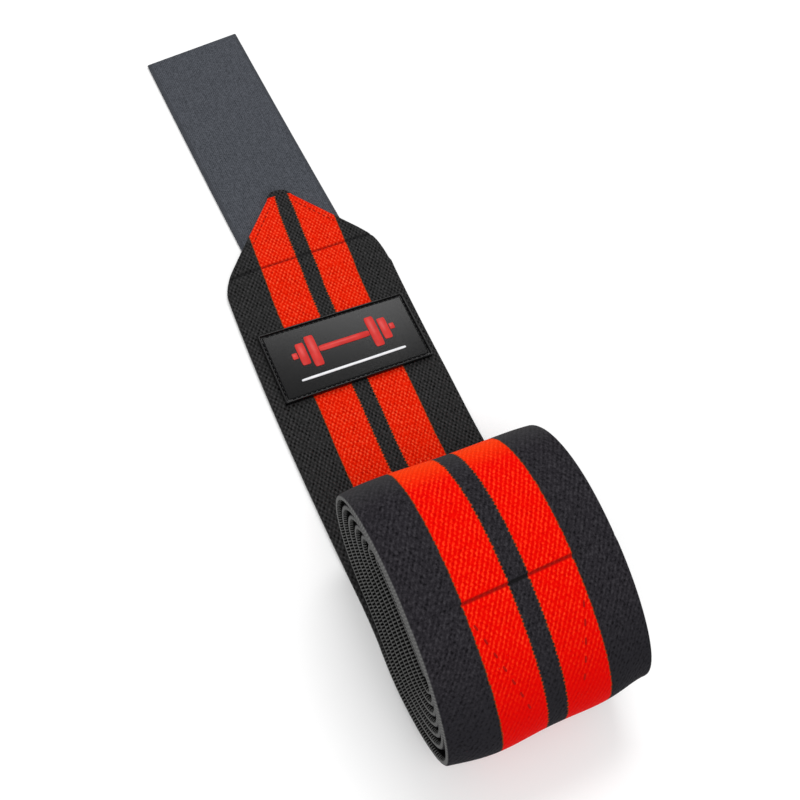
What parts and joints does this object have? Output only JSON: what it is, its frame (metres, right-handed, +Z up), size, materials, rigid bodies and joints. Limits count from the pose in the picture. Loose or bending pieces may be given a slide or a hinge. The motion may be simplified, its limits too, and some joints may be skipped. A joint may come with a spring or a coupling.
{
  "type": "knee wrap",
  "caption": "Elastic knee wrap: a striped band, mostly wound into a flattened coil, with a pointed end, a hook tab and a rubber badge.",
  "frame": {"origin": "middle of the wrap's box, on the surface that it lies on", "axes": "+Y along the strap from the coil to the hook tab, +X across the band, +Z up"},
  "size_m": [0.0898, 0.3714, 0.0572],
  "materials": {
    "band": "woven elastic, matt, two lengthwise stripes",
    "hook_tab": "fine hook fabric, matt",
    "badge": "moulded rubber, satin rim and glossy panel"
  },
  "bodies": {
    "root": {"band": "band", "hook_tab": "hook_tab", "badge": "badge"}
  },
  "joints": []
}
